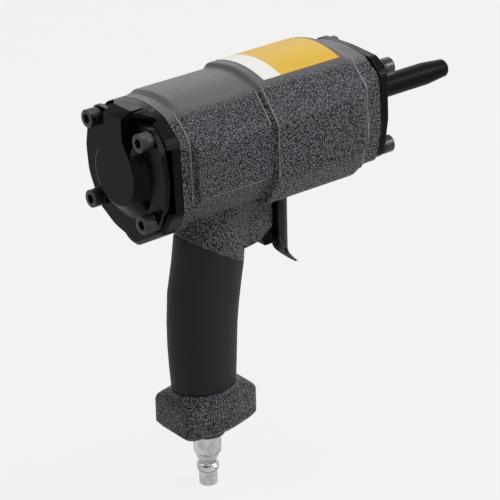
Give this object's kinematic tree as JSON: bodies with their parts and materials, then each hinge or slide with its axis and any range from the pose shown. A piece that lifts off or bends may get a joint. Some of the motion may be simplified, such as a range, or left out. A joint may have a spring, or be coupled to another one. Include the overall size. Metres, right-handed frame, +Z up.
{
  "type": "pneumatic nail and rivet punch gun",
  "caption": "Pistol-grip air tool: a sprung trigger lets air drive a piston and its steel driver pin forward through a narrow nose tube to punch out nails or rivets.",
  "frame": {"origin": "centre of the free end of the air plug under the handle", "axes": "+X along the barrel to the nose, +Z up along the air plug to the barrel, +Y to the left seen from behind"},
  "size_m": [0.2326, 0.076, 0.2462],
  "materials": {
    "hammered_casting": "dark grey hammered paint",
    "black_casting": "satin black powder coat",
    "gasket": "matt",
    "black_steel": "blackened",
    "machined_aluminium": "turned",
    "seal_rubber": "matt",
    "spring_steel": "bright wire",
    "tool_steel": "ground",
    "bumper_rubber": "matt",
    "black_trigger": "satin black",
    "brass": "turned",
    "grip_rubber": "matt, fine grain",
    "plated_steel": "nickel plated",
    "label": "printed label, no lettering"
  },
  "bodies": {
    "gun": {"housing": "hammered_casting", "rear_cap": "black_casting", "rear_gasket": "gasket", "rear_screws": "black_steel", "rear_spring_washers": "black_steel", "head_valve_spring": "spring_steel", "cylinder_liner": "machined_aluminium", "liner_o_ring": "seal_rubber", "bumper": "bumper_rubber", "front_gasket": "gasket", "front_plate": "black_casting", "nose_tube": "black_steel", "front_screws": "black_steel", "front_spring_washers": "black_steel", "trigger_pin": "tool_steel", "valve_bushing": "brass", "valve_o_rings": "seal_rubber", "valve_spring": "spring_steel", "exhaust_plug": "black_steel", "grip_sleeve": "grip_rubber", "air_plug": "plated_steel", "label_plate": "label"},
    "driver": {"piston": "machined_aluminium", "piston_ring": "seal_rubber", "driver_pin": "tool_steel"},
    "head_valve": {"head_valve": "machined_aluminium", "head_valve_seal": "seal_rubber", "head_valve_o_ring": "seal_rubber"},
    "trigger": {"trigger": "black_trigger"},
    "valve_stem": {"valve_stem": "tool_steel"}
  },
  "joints": [
    {"name": "trigger_pull", "type": "hinge", "parent": "gun", "child": "trigger", "pos_m": [0.051, 0, 0.1652], "axis": [0, 1, 0], "range_deg": [0, 9.4], "stiffness_Nm_per_rad": 1, "springref_deg": -8.59},
    {"name": "valve_stem_push", "type": "slide", "parent": "gun", "child": "valve_stem", "axis": [-1, 0, 0], "range_m": [0, 0.00155], "deforming": ["valve_spring"]},
    {"name": "driver_stroke", "type": "slide", "parent": "gun", "child": "driver", "axis": [1, 0, 0], "range_m": [0, 0.088]},
    {"name": "head_valve_lift", "type": "slide", "parent": "gun", "child": "head_valve", "axis": [-1, 0, 0], "range_m": [0, 0.004], "stiffness_N_per_m": 2000, "springref_m": -0.005, "deforming": ["head_valve_spring"]}
  ],
  "couplings": [
    {"joint": "valve_stem_push", "follows": "trigger_pull", "m_per_rad": 0.00932}
  ]
}
